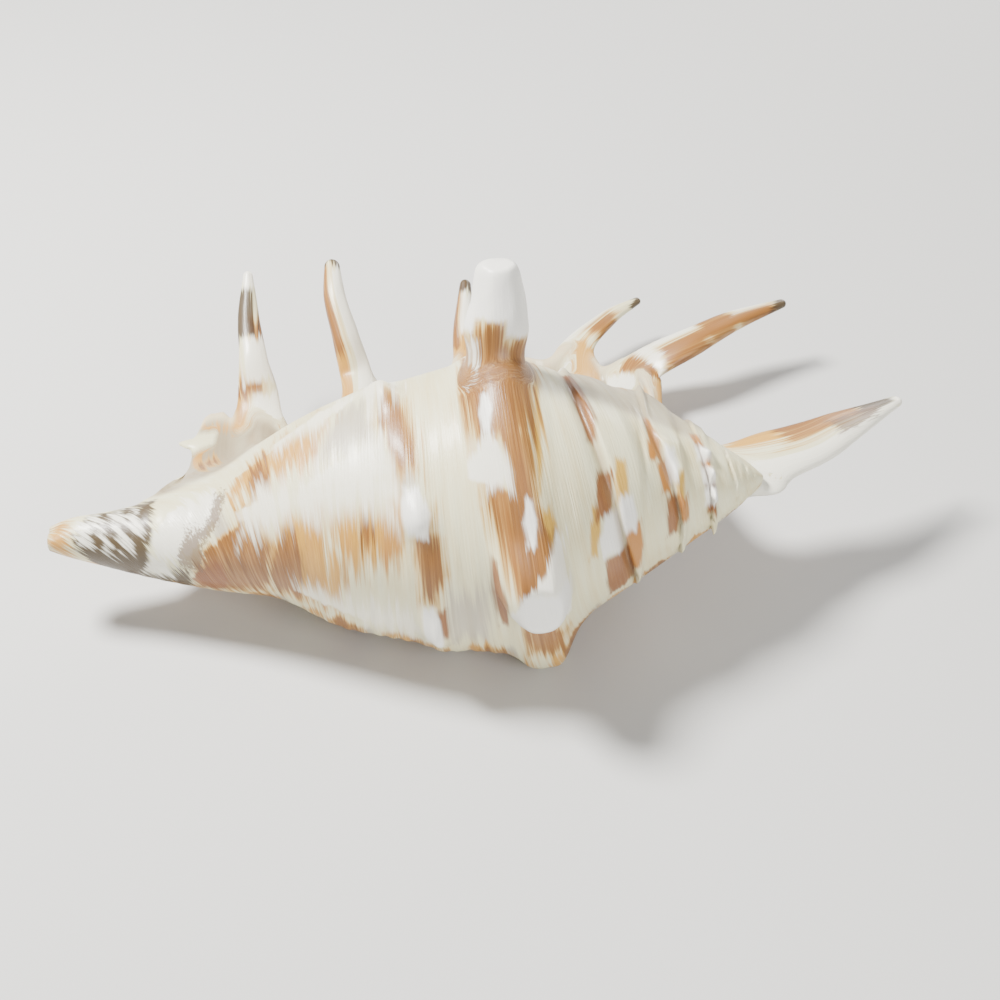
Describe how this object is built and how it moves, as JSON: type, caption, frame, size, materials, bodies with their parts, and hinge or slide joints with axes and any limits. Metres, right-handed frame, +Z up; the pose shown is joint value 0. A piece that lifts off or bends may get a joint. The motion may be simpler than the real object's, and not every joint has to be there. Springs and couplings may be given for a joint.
{
  "type": "spider conch shell",
  "caption": "Spider conch seashell: coiled body with a knobbed shoulder and pointed spire, long siphonal canal, and a flared outer lip drawn out into curved horns.",
  "frame": {"origin": "centre of the bounding box in X and Y, on the surface that the shell rests on", "axes": "+X along the coiling axis towards the apex, +Y towards the horned outer lip, +Z up, with the aperture facing down"},
  "size_m": [0.1784, 0.1234, 0.0757],
  "materials": {
    "shell": "natural shell, semi-gloss, with a polished lip and aperture"
  },
  "bodies": {
    "root": {"spider_conch_shell": "shell"}
  },
  "joints": []
}
